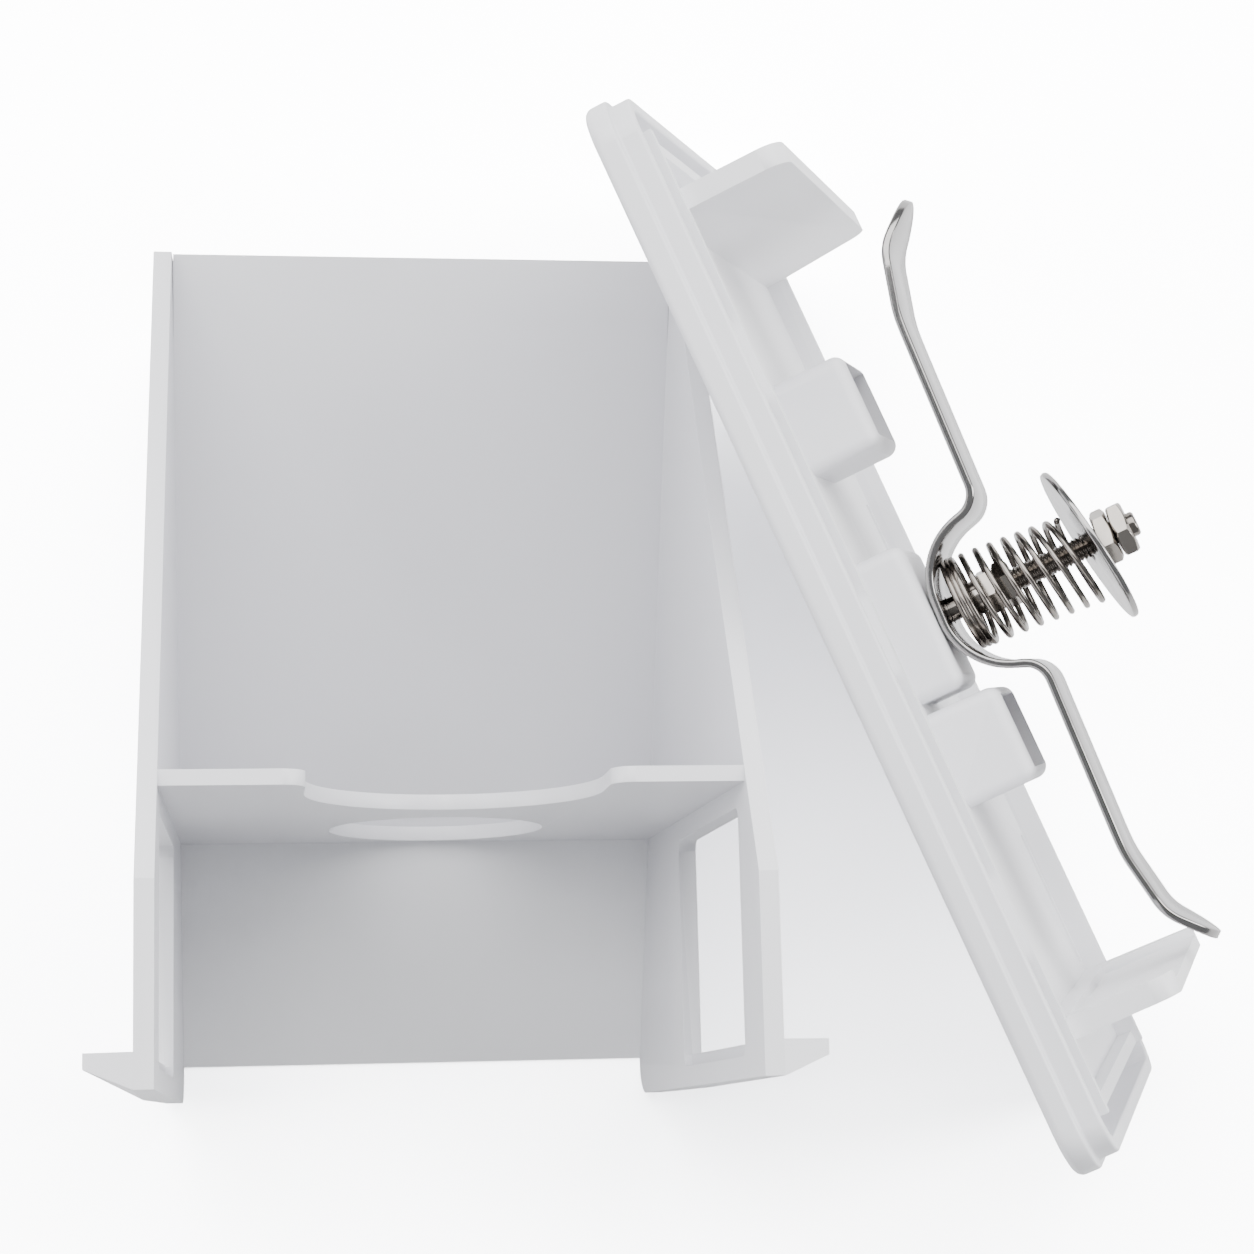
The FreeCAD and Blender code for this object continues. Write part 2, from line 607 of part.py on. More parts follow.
def make_strap():
    """Bow-shaped strip: a cupped middle, two raised arms and two flared spoon tips.

    The side outline is the centre line moved out by half the sheet both ways. The plan
    outline, wider at the rounded tips, is cut from it, and the screw's hole through it.
    """
    cup, shoulder = S["strap_cup"].value, S["strap_shoulder"].value
    arm, tip = S["strap_arm"].value, S["strap_tip"].value
    step, flare = S["strap_step"].value, S["strap_flare"].value
    knuckle = arm + 0.62 * (tip - arm)
    half = [Vector(cup, 0, 0), Vector(shoulder, 0, step), Vector(arm, 0, step),
            Vector(knuckle, 0, step + 0.25 * flare), Vector(tip, 0, step + flare)]
    mirror = [Vector(-p.x, 0, p.z) for p in reversed(half)]
    bowl = S["strap_bowl"].value
    radii = [10, 24, 5, bowl, bowl, 5, 24, 10]
    pieces = arc_path(mirror + half, radii)
    thick = S["strap_sheet"].value / 2
    upper = offset_edges(pieces, thick)
    lower = offset_edges(pieces, -thick)
    caps = [Part.makeLine(upper[0].Vertexes[0].Point, lower[0].Vertexes[0].Point),
            Part.makeLine(upper[-1].Vertexes[-1].Point, lower[-1].Vertexes[-1].Point)]
    side = Part.Face(Part.Wire(Part.__sortEdges__(upper + lower + caps)))
    wide = S["strap_width"].value
    strip = side.extrude(Vector(0, wide, 0))
    strip.translate(Vector(0, -wide / 2, 0))

    tall = 4 * (step + flare)
    ends = tip - wide / 2
    plan = Part.makeBox(2 * ends, wide + 2, tall, Vector(-ends, -wide / 2 - 1, -tall / 2))
    for way in (-1, 1):
        plan = plan.fuse(Part.makeCylinder(wide / 2, tall, Vector(way * ends, 0, -tall / 2)))
    strip = strip.common(plan.removeSplitter())
    hole = S["screw_bore"].value / 2 + 4 * S["screw_gap"].value
    strip = strip.cut(Part.makeCylinder(hole, tall, Vector(0, 0, -tall / 2)))
    solid = strip.Solids[0]
    strap = doc.addObject("Part::Feature", "clamp_strap")
    strap.Label = "clamp_strap"
    strap.Shape = solid
    return strap


def make_spring(low, high):
    """Open coil about the clamp axis: a round wire swept along a helix."""
    wire = S["coil_wire"].value
    radius = (S["coil_outer"].value - wire) / 2
    length = high - low - wire
    pitch = length / S["coil_turns"].value
    helix = Part.makeHelix(pitch, length, radius)
    circle = Part.Circle(Vector(radius, 0, 0), Y_AXIS, wire / 2).toShape()
    coil = helix.makePipeShell([Part.Wire(circle)], True, True)
    coil.translate(Vector(0, 0, wire / 2))
    spring = doc.addObject("Part::Feature", "clamp_spring")
    spring.Label = "clamp_spring"
    spring.Shape = coil.Solids[0] if coil.Solids else coil
    return spring


# ---------------------------------------------------------------- assembly

tray = make_tray()
cover = make_cover()
carrier = make_carrier()
screw = make_screw()

thread = S["screw_bore"] + S["screw_gap"] * 2
sleeve_top = S["sleeve_low"] + S["sleeve_sheet"]
sleeve = make_ring("spacer_sleeve", S["sleeve_low"], S["sleeve_sheet"], thread,
                   outer=S["sleeve_outer"])
inner_nut = make_ring("inner_nut", sleeve_top + S["nut_gap"], S["nut_sheet"], thread,
                      flats=S["small_flats"])
stop_nut = make_ring("stop_nut", sleeve_top + S["nut_gap"] * 2 + S["nut_sheet"],
                     S["nut_sheet"], thread, flats=S["small_flats"])
washer = make_washer()
slant = math.tan(math.radians(math.hypot(S["disc_tip_along"].value, S["disc_tip_across"].value)))
clamp_nut_low = S["disc_height"] + S["disc_sheet"] / 2 + S["nut_flats"] * (0.58 * slant) + S["nut_gap"]
clamp_nut = make_ring("clamp_nut", clamp_nut_low, S["nut_sheet"], thread, flats=S["nut_flats"])
lock_nut = make_ring("lock_nut", clamp_nut_low + S["nut_sheet"] + S["nut_gap"],
                     S["nut_sheet"], thread, flats=S["nut_flats"])

strap = make_strap()
strap_middle = S["boss_rise"] + S["strap_seat"] + S["strap_sheet"] / 2
bowl_reach = S["coil_outer"].value / 2 - 2.0
bowl_rise = S["strap_bowl"].value - math.sqrt(S["strap_bowl"].value ** 2 - bowl_reach ** 2)
tilt_rise = S["coil_outer"].value / 2 * math.sin(math.radians(S["strap_tilt"].value))
spring_low = strap_middle + S["strap_sheet"] / 2 + S["coil_gap"] + (bowl_rise + tilt_rise)
spring_high = (S["disc_height"] - S["disc_sheet"] / 2 - S["coil_outer"] * (0.5 * slant)
               - S["coil_gap"])
spring = make_spring(0, spring_high.value - spring_low.value)
doc.recompute()

turn = Rotation(Z_AXIS, S["stand_turn"].value + 90)
lean = Rotation(Vector(1, 0, 0), 90 - S["stand_lean"].value)
lean_angle = math.radians(S["stand_lean"].value)
rounding = S["cover_edge"].value * (math.cos(lean_angle) + math.sin(lean_angle) - 1)
stand = Placement(Vector(S["stand_x"].value, S["stand_y"].value, -rounding), turn.multiply(lean))
axis_point = Vector(S["axis_along"].value, S["cover_width"].value / 2, 0)
tip_over = Rotation(Y_AXIS, S["disc_tip_along"].value)
tip_aside = Rotation(X_AXIS, -S["disc_tip_across"].value)

for piece in (cover, carrier, screw, sleeve, inner_nut, stop_nut, clamp_nut, lock_nut):
    piece.Placement = stand
washer.Placement = stand.multiply(Placement(
    axis_point + Vector(0, 0, S["disc_height"].value), tip_aside.multiply(tip_over)))
strap.Placement = stand.multiply(Placement(
    axis_point + Vector(0, 0, strap_middle.value), Rotation(Y_AXIS, -S["strap_tilt"].value)))
spring.Placement = stand.multiply(Placement(
    axis_point + Vector(0, 0, spring_low.value), Rotation()))
doc.recompute()

pieces = [tray, cover, carrier, screw, sleeve, inner_nut, stop_nut, strap, spring, washer,
          clamp_nut, lock_nut]

# the origin is moved to the middle of the whole arrangement, at floor level
around = FreeCAD.BoundBox()
for piece in pieces:
    around.add(piece.Shape.optimalBoundingBox(False))
shift = Vector(-around.Center.x, -around.Center.y, -around.ZMin)
for piece in pieces:
    piece.Placement = Placement(shift, Rotation()).multiply(piece.Placement)
doc.recompute()

for item in doc.Objects:
    if "Invalid" in item.State or "Error" in item.State:
        raise RuntimeError("failed: %s %s" % (item.Label, item.State))
os.makedirs("parts", exist_ok=True)
for piece in pieces:
    shape = piece.Shape
    if shape.isNull() or not shape.isValid() or len(shape.Solids) != 1:
        raise RuntimeError("bad shape: %s, %d solids" % (piece.Label, len(shape.Solids)))
    shape.exportStep("parts/%s.step" % piece.Label)
    box = shape.BoundBox
    print("%-14s volume %9.1f  x %7.1f %7.1f  y %7.1f %7.1f  z %7.1f %7.1f" % (
        piece.Label, shape.Volume, box.XMin, box.XMax, box.YMin, box.YMax, box.ZMin, box.ZMax))
print("shift %.3f %.3f %.3f" % (shift.x, shift.y, shift.z))
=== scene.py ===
"""Looks of the hopper tray and its cover with the spring clamp.

Everything stands in the model's own frame, in metres. The cover's pieces are worked out
in millimetres in the cover's local frame (x along it, y up its lean, z out of its back)
and stood up by lean().
"""

import bpy
import numpy as np
from mathutils import Matrix, Vector


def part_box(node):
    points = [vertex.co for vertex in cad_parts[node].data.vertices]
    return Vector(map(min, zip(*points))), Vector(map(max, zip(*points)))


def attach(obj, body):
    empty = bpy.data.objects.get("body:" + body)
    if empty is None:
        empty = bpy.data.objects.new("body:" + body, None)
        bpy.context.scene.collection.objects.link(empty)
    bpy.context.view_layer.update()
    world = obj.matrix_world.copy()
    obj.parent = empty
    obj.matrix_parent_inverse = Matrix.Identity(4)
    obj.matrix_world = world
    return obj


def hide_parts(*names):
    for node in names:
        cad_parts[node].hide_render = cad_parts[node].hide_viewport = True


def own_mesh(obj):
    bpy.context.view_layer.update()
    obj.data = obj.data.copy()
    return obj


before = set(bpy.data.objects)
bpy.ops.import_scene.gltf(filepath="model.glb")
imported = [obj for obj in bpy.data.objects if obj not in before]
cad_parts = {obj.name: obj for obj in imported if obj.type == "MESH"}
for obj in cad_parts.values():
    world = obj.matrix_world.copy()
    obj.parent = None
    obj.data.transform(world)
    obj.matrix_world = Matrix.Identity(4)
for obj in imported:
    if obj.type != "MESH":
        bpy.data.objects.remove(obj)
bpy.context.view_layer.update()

MM = 0.001
SOLE_DROP = 6.0             # the tray's cheeks reach this far below its foot line
tray_low, tray_high = (np.array(corner, float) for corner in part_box("tray"))
foot = np.array([(tray_low[0] + tray_high[0]) / 2, tray_low[1] + SOLE_DROP * MM, tray_low[2]])

TURN = np.radians(23.15)
LEAN = np.radians(22.8)
ALONG = np.array([-np.sin(TURN), np.cos(TURN), 0.0])
OUT = np.array([np.cos(LEAN) * np.cos(TURN), np.cos(LEAN) * np.sin(TURN), np.sin(LEAN)])
UP_LEAN = np.cross(OUT, ALONG)
COVER_EDGE = 1.6
ROUNDING = COVER_EDGE * (np.cos(LEAN) + np.sin(LEAN) - 1)
cover_corner = foot + np.array([144.62, -6.9, -ROUNDING]) * MM
AXIS = np.array([99.5, 59.5, 0.0])
COIL_LOW, COIL_HIGH = 17.9, 43.4
COIL_OUTER, COIL_WIRE, COIL_TURNS = 18.5, 1.2, 10
WASHER_MIDDLE, WASHER_SHEET = 44.6, 1.2
TIP_ALONG, TIP_ACROSS = 8.2, 8.0        # degrees the end washer tips on the screw
NUT_FLATS, NUT_SHEET, NUT_GAP = 9.5, 3.0, 0.25


def lean(points):
    """Cover's local millimetres to metres: corner + x along + y up the lean + z out."""
    points = np.asarray(points, float) * MM
    return cover_corner + points @ np.array([ALONG, UP_LEAN, OUT])


# ------------------------------------------------------------------ mesh making

def skin(name, grid, loop_rows=False, loop_columns=False, caps=False, smooth=True):
    """Mesh over a grid of points: each square of four neighbours is one face.

    Rows or columns may close on themselves. caps fills the first and last row.
    """
    rows, columns = grid.shape[:2]
    number = np.arange(rows * columns).reshape(rows, columns)
    if loop_rows:
        number = np.vstack([number, number[:1]])
    if loop_columns:
        number = np.hstack([number, number[:, :1]])
    faces = np.stack([number[:-1, :-1], number[:-1, 1:], number[1:, 1:], number[1:, :-1]], -1)
    faces = faces.reshape(-1, 4).tolist()
    if caps:
        faces.append(number[0, :columns][::-1].tolist())
        faces.append(number[rows - 1, :columns].tolist())
    mesh = bpy.data.meshes.new(name)
    mesh.from_pydata(grid.reshape(-1, 3).tolist(), [], faces)
    mesh.validate()
    turn_outwards(mesh)
    if smooth:
        mesh.shade_smooth()
    piece = bpy.data.objects.new(name, mesh)
    bpy.context.scene.collection.objects.link(piece)
    return piece


def turn_outwards(mesh):
    """Flips every face if the mesh's signed volume is negative.

    The volume is a sixth of the sum, over the triangles, of corner a dot (b cross c).
    """
    mesh.calc_loop_triangles()
    spot = np.empty(len(mesh.vertices) * 3)
    mesh.vertices.foreach_get("co", spot)
    corner = np.empty(len(mesh.loop_triangles) * 3, int)
    mesh.loop_triangles.foreach_get("vertices", corner)
    a, b, c = spot.reshape(-1, 3)[corner.reshape(-1, 3)].transpose(1, 0, 2)
    middle = spot.reshape(-1, 3).mean(axis=0)
    volume = np.einsum("ij,ij->i", a - middle, np.cross(b - middle, c - middle)).sum()
    if volume < 0:
        mesh.flip_normals()


def crease(piece, degrees):
    """Edges sharper than the given angle stay crisp; the others shade smoothly."""
    piece.data.set_sharp_from_angle(angle=np.radians(degrees))


# ------------------------------------------------------------------ materials

def socket(group, name, way, kind, value=None, low=None, high=None):
    """Adds a named input or output to a shader node group."""
    made = group.interface.new_socket(name=name, in_out=way, socket_type=kind)
    if value is not None:
        made.default_value = value
    if low is not None:
        made.min_value = low
        made.max_value = high


class Bench:
    """Short hand for placing and joining shader nodes in one tree."""

    def __init__(self, tree):
        self.tree = tree
        self.across = 0

    def node(self, kind, inputs=None, **settings):
        """A new node; each input takes a socket to join or a plain value."""
        made = self.tree.nodes.new(kind)
        made.location = (self.across, 0)
        self.across += 190
        for key, value in settings.items():
            setattr(made, key, value)
        for key, value in (inputs or {}).items():
            if isinstance(value, bpy.types.NodeSocket):
                self.tree.links.new(value, made.inputs[key])
            else:
                made.inputs[key].default_value = value
        return made

    def sum(self, action, first, second, clamp=False):
        """The result of a Math node on two inputs."""
        made = self.node("ShaderNodeMath", {0: first, 1: second}, operation=action,
                         use_clamp=clamp)
        return made.outputs[0]


def moulding_grain():
    """Group: fine spark-eroded grain and slow unevenness of a moulded plastic skin.

    Height is small noise plus a tenth of a broader one. Tone is the broad noise alone,
    from 0 to 1. Gloss is the roughness given plus a share of the tone.
    """
    group = bpy.data.node_groups.new("moulding_grain", "ShaderNodeTree")
    socket(group, "Grain size", "INPUT", "NodeSocketFloat", 2600.0, 0.0, 1e5)
    socket(group, "Cloud size", "INPUT", "NodeSocketFloat", 26.0, 0.0, 1e4)
    socket(group, "Roughness", "INPUT", "NodeSocketFloat", 0.4, 0.0, 1.0)
    socket(group, "Unevenness", "INPUT", "NodeSocketFloat", 0.1, 0.0, 1.0)
    socket(group, "Height", "OUTPUT", "NodeSocketFloat")
    socket(group, "Tone", "OUTPUT", "NodeSocketFloat")
    socket(group, "Gloss", "OUTPUT", "NodeSocketFloat")
    bench = Bench(group)
    given = bench.node("NodeGroupInput").outputs
    place = bench.node("ShaderNodeTexCoord").outputs["Object"]
    fine = bench.node("ShaderNodeTexNoise", {"Vector": place, "Scale": given["Grain size"],
                                             "Detail": 2.0, "Roughness": 0.6})
    broad = bench.node("ShaderNodeTexNoise", {"Vector": place, "Scale": given["Cloud size"],
                                              "Detail": 3.0, "Roughness": 0.55})
    height = bench.sum("MULTIPLY_ADD", broad.outputs[0], 0.1)
    height.node.inputs[2].default_value = 0.0
    group.links.new(fine.outputs[0], height.node.inputs[2])
    centred = bench.sum("SUBTRACT", broad.outputs[0], 0.5)
    swing = bench.sum("MULTIPLY", centred, given["Unevenness"])
    gloss = bench.sum("ADD", given["Roughness"], swing, clamp=True)
    bench.node("NodeGroupOutput", {"Height": height, "Tone": broad.outputs[0], "Gloss": gloss})
    return group


def edge_light():
    """Group: mask of the outer edges, where moulded or rolled corners catch the light.

    The mask is how far the surface's pointiness lies above flat, times a strength.
    """
    group = bpy.data.node_groups.new("edge_light", "ShaderNodeTree")
    socket(group, "Strength", "INPUT", "NodeSocketFloat", 8.0, 0.0, 100.0)
    socket(group, "Mask", "OUTPUT", "NodeSocketFloat")
    bench = Bench(group)
    given = bench.node("NodeGroupInput").outputs
    point = bench.node("ShaderNodeNewGeometry").outputs["Pointiness"]
    above = bench.sum("SUBTRACT", point, 0.505)
    mask = bench.sum("MULTIPLY", above, given["Strength"], clamp=True)
    bench.node("NodeGroupOutput", {"Mask": mask})
    return group


def drawn_marks():
    """Group: fine lines left by drawing or rolling metal, along one stretched axis.

    Height is noise squeezed along the chosen direction, so it reads as long scratches.
    Tone is a slower noise for faint stains. Gloss is the roughness with some of both.
    """
    group = bpy.data.node_groups.new("drawn_marks", "ShaderNodeTree")
    socket(group, "Stretch", "INPUT", "NodeSocketVector")
    socket(group, "Roughness", "INPUT", "NodeSocketFloat", 0.15, 0.0, 1.0)
    socket(group, "Unevenness", "INPUT", "NodeSocketFloat", 0.1, 0.0, 1.0)
    socket(group, "Height", "OUTPUT", "NodeSocketFloat")
    socket(group, "Tone", "OUTPUT", "NodeSocketFloat")
    socket(group, "Gloss", "OUTPUT", "NodeSocketFloat")
    bench = Bench(group)
    given = bench.node("NodeGroupInput").outputs
    place = bench.node("ShaderNodeTexCoord").outputs["Object"]
    turned = bench.node("ShaderNodeMapping", {
        "Vector": place, "Rotation": (0.0, -LEAN, -TURN), "Scale": given["Stretch"]})
    lines = bench.node("ShaderNodeTexNoise", {"Vector": turned.outputs[0], "Scale": 1.0,
                                              "Detail": 4.0, "Roughness": 0.65})
    stain = bench.node("ShaderNodeTexNoise", {"Vector": place, "Scale": 160.0,
                                              "Detail": 3.0, "Roughness": 0.6})
    both = bench.sum("ADD", lines.outputs[0], stain.outputs[0])
    centred = bench.sum("SUBTRACT", both, 1.0)
    swing = bench.sum("MULTIPLY", centred, given["Unevenness"])
    gloss = bench.sum("ADD", given["Roughness"], swing, clamp=True)
    bench.node("NodeGroupOutput", {"Height": lines.outputs[0], "Tone": stain.outputs[0],
                                   "Gloss": gloss})
    return group


def new_material(name):
    """An empty node material and a bench to build it on."""
    made = bpy.data.materials.new(name)
    made.use_nodes = True
    made.node_tree.nodes.clear()
    return made, Bench(made.node_tree)


def mix_colour(bench, share, first, second):
    """First colour where the share is 0, second where it is 1."""
    made = bench.node("ShaderNodeMix", {0: share, 6: first, 7: second}, data_type="RGBA")
    return made.outputs[2]


def white_plastic(name, base, deep, painted_recess_shade, grain, light, rough):
    """Moulded white plastic: faint clouds between two whites, painted highlight on rounded edges.

    Painted shade: the colour leans to a darker recess tone by how little open space a point sees.
    """
    made, bench = new_material(name)
    skin_group = bench.node("ShaderNodeGroup", node_tree=grain)
    skin_group.inputs["Roughness"].default_value = rough
    edge = bench.node("ShaderNodeGroup", node_tree=light)
    cloud = mix_colour(bench, skin_group.outputs["Tone"], base, deep)
    # Painted shade: ambient occlusion darkens the colour towards the recess tone in corners,
    # recesses and between walls.
    open_share_for_painted_shade = bench.node("ShaderNodeAmbientOcclusion", {"Distance": 0.09}).outputs["AO"]
    body = mix_colour(bench, open_share_for_painted_shade, painted_recess_shade, cloud)
    # Painted highlight: convex rounded edges are whitened by the edge mask.
    colour = mix_colour(bench, edge.outputs["Mask"], body, (0.96, 0.96, 0.98, 1))
    bump = bench.node("ShaderNodeBump", {"Height": skin_group.outputs["Height"],
                                         "Strength": 0.12, "Distance": 0.00005})
    shader = bench.node("ShaderNodeBsdfPrincipled", {
        "Base Color": colour, "Roughness": skin_group.outputs["Gloss"],
        "Normal": bump.outputs[0], "IOR": 1.49, "Coat Weight": 0.12, "Coat Roughness": 0.2})
    bench.node("ShaderNodeOutputMaterial", {"Surface": shader.outputs[0]})
    return made


def nickel(name, bright, dull, marks, stretch, rough):
    """Nickel-plated steel: warm grey metal with faint drawn lines and stains."""
    made, bench = new_material(name)
    lines = bench.node("ShaderNodeGroup", node_tree=marks)
    lines.inputs["Stretch"].default_value = stretch
    lines.inputs["Roughness"].default_value = rough
    colour = mix_colour(bench, lines.outputs["Tone"], bright, dull)
    bump = bench.node("ShaderNodeBump", {"Height": lines.outputs["Height"],
                                         "Strength": 0.1, "Distance": 0.00004})
    shader = bench.node("ShaderNodeBsdfPrincipled", {
        "Base Color": colour, "Roughness": lines.outputs["Gloss"], "Metallic": 1.0,
        "Normal": bump.outputs[0]})
    bench.node("ShaderNodeOutputMaterial", {"Surface": shader.outputs[0]})
    return made


grain_group = moulding_grain()
edge_group = edge_light()
marks_group = drawn_marks()
# The third colour given to each white is its painted shade tone for recesses and between walls.
tray_white = white_plastic("tray_white", (0.92, 0.92, 0.955, 1), (0.87, 0.87, 0.905, 1),
                           (0.6, 0.6, 0.63, 1), grain_group, edge_group, 0.36)
cover_white = white_plastic("cover_white", (0.95, 0.95, 0.98, 1), (0.91, 0.91, 0.94, 1),
                            (0.8, 0.8, 0.83, 1), grain_group, edge_group, 0.34)
carrier_white = white_plastic("carrier_white", (0.96, 0.96, 0.98, 1), (0.92, 0.92, 0.95, 1),
                              (0.84, 0.84, 0.87, 1), grain_group, edge_group, 0.4)
strap_nickel = nickel("strap_nickel", (0.4, 0.39, 0.385, 1), (0.28, 0.27, 0.265, 1),
                      marks_group, (400.0, 3500.0, 3500.0), 0.14)
wire_nickel = nickel("wire_nickel", (0.3, 0.275, 0.25, 1), (0.18, 0.165, 0.15, 1),
                     marks_group, (2500.0, 2500.0, 2500.0), 0.16)
nut_nickel = nickel("nut_nickel", (0.44, 0.41, 0.375, 1), (0.3, 0.275, 0.25, 1),
                    marks_group, (1500.0, 1500.0, 5000.0), 0.16)


# ------------------------------------------------------------------ moulded pieces

def soften(node, width, material, merge_flats=True):
    """A moulded CAD piece keeps its mesh; modifiers join, clean and round its edges.

    A piece with slots through its flat faces keeps its triangles, so the slots stay open.
    """
    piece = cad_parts[node]
    piece.data.materials.clear()
    piece.data.materials.append(material)
    weld = piece.modifiers.new("join", "WELD")
    weld.merge_threshold = 2e-6
    if merge_flats:
        flat = piece.modifiers.new("clean", "DECIMATE")
        flat.decimate_type = "DISSOLVE"
        flat.angle_limit = np.radians(0.6)
    bevel = piece.modifiers.new("round", "BEVEL")
    bevel.width = width * MM
    bevel.segments = 3
    bevel.limit_method = "ANGLE"
    bevel.angle_limit = np.radians(32)
    bevel.harden_normals = True
    bevel.miter_outer = "MITER_ARC"
    return piece


soften("tray", 0.9, tray_white)
soften("face_cover", 0.5, cover_white)
soften("clamp_carrier", 0.45, carrier_white, merge_flats=False)


# ------------------------------------------------------------------ turned pieces

def about_axis(radius, height, turn, tilt_along=0.0, tilt_across=0.0, middle=0.0):
    """Points at a radius and height from the clamp axis, turned round it.

    x = radius cos(turn), y = radius sin(turn), z = height. The result may be tipped
    about the middle height by two small angles, then moved to the axis.
    """
    x, y, z = np.broadcast_arrays(radius * np.cos(turn), radius * np.sin(turn), height)
    points = np.stack([x, y, z - middle], -1)
    a, b = np.radians(tilt_along), np.radians(tilt_across)
    about_y = np.array([[np.cos(a), 0, np.sin(a)], [0, 1, 0], [-np.sin(a), 0, np.cos(a)]])
    about_x = np.array([[1, 0, 0], [0, np.cos(b), np.sin(b)], [0, -np.sin(b), np.cos(b)]])
    points = points @ (about_x @ about_y).T
    return lean(points + AXIS + [0, 0, middle])


def hex_nut(name, flats, low, sheet, turn):
    """Hexagonal nut: a hexagon of revolution with both faces chamfered.

    The wall's radius is half the flats over the cosine of the angle to the nearest flat.
    A corner's height drops from the face by a share of how far it stands out.
    """
    around = np.linspace(0, 2 * np.pi, 96, endpoint=False)[None, :]
    aside = (around + np.pi / 6) % (np.pi / 3) - np.pi / 6
    wall = flats / 2 / np.cos(aside)
    ring = 0.94 * flats / 2
    drop = (wall - ring) * np.tan(np.radians(28))
    bore = 2.42
    zero = np.zeros_like(around)
    profile = [
        (bore + zero, low + 0.35 + zero), (bore + 0.35 + zero, low + zero),
        (ring + zero, low + zero), (wall - 0.06, low + drop), (wall, low + drop + 0.08),
        (wall, low + sheet / 2 + zero),
        (wall, low + sheet - drop - 0.08), (wall - 0.06, low + sheet - drop),
        (ring + zero, low + sheet + zero), (bore + 0.35 + zero, low + sheet + zero),
        (bore + zero, low + sheet - 0.35 + zero)]
    radius = np.concatenate([row[0] for row in profile])
    height = np.concatenate([row[1] for row in profile])
    piece = skin(name, about_axis(radius, height, around + turn), True, True)
    crease(piece, 24)
    return piece


def washer(name, bore, outer, sheet, middle, tilt_along, tilt_across):
    """Wide flat ring with rolled rims, very slightly dished, tipped on the screw.

    The section is a stadium from bore to rim. Its height has a dish of a tenth of a
    millimetre, falling with the square of the radius.
    """
    bend = np.linspace(-np.pi / 2, np.pi / 2, 9)[:, None]
    around = np.linspace(0, 2 * np.pi, 128, endpoint=False)[None, :]
    soft = 0.32
    rim_r = outer / 2 - soft + soft * np.cos(bend)
    rim_z = sheet / 2 * np.sin(bend)
    hub_r = bore / 2 + soft - soft * np.cos(bend)
    flat = np.linspace(0, 1, 8)[1:-1, None]
    span = (outer - bore) / 2 - 2 * soft
    top_r = outer / 2 - soft - span * flat
    under_r = bore / 2 + soft + span * flat
    radius = np.concatenate([rim_r, top_r, hub_r[::-1], under_r]) + 0 * around
    height = np.concatenate([rim_z, sheet / 2 + 0 * flat, rim_z[::-1], -sheet / 2 + 0 * flat])
    height = height + middle - 0.1 * (2 * radius / outer) ** 2
    grid = about_axis(radius, height, around, tilt_along, tilt_across, middle)
    return skin(name, grid, True, True)


def ring_piece(name, bore, outer, low, high):
    """Plain sleeve: a rectangle of revolution with small chamfers."""
    around = np.linspace(0, 2 * np.pi, 64, endpoint=False)[None, :]
    cut = 0.3
    r = [bore, bore + cut, outer - cut, outer, outer, outer - cut, bore + cut, bore]
    z = [low + cut, low, low, low + cut, high - cut, high, high, high - cut]
    radius = np.array(r)[:, None] + 0 * around
    piece = skin(name, about_axis(radius, np.array(z)[:, None], around), True, True)
    crease(piece, 30)
    return piece


def threaded_screw(name, radius, start, thread_from, thread_to, end, head_r, head_low, head_high):
    """Screw: a flat head, a plain neck, a cut thread and a plain rounded point.

    The thread's radius is the shank's less a triangle wave of (height over pitch minus
    turns), faded in and out over a millimetre.
    """
    pitch = 0.79
    depth = 0.42
    around = np.linspace(0, 2 * np.pi, 36, endpoint=False)[None, :]
    height = np.arange(start, end - 0.6, pitch / 6)[:, None]
    phase = (height / pitch - around / (2 * np.pi)) % 1
    wave = 1 - np.abs(2 * phase - 1)
    fade = np.clip(height - thread_from, 0, 1) * np.clip(thread_to - height, 0, 1)
    shank = radius - depth * wave * fade
    zero = np.zeros_like(around)
    bend = np.linspace(0, np.pi / 2, 6)[:, None]
    point_r = radius - 0.6 + 0.6 * np.cos(bend) + zero
    point_z = end - 0.6 + 0.6 * np.sin(bend) + zero
    head = [(0.02, head_low), (head_r - 0.3, head_low), (head_r, head_low + 0.3),
            (head_r, head_high - 0.3), (head_r - 0.3, head_high), (radius, head_high)]
    head_radius = np.array([h[0] for h in head])[:, None] + zero
    head_height = np.array([h[1] for h in head])[:, None] + zero
    closing = np.array([[0.02]]) + zero
    r = np.concatenate([head_radius, shank, point_r, closing])
    z = np.concatenate([head_height, height + zero, point_z, end + zero])
    piece = skin(name, about_axis(r, z, around), False, True, caps=True)
    crease(piece, 50)
    return piece


# ------------------------------------------------------------------ coil and strap

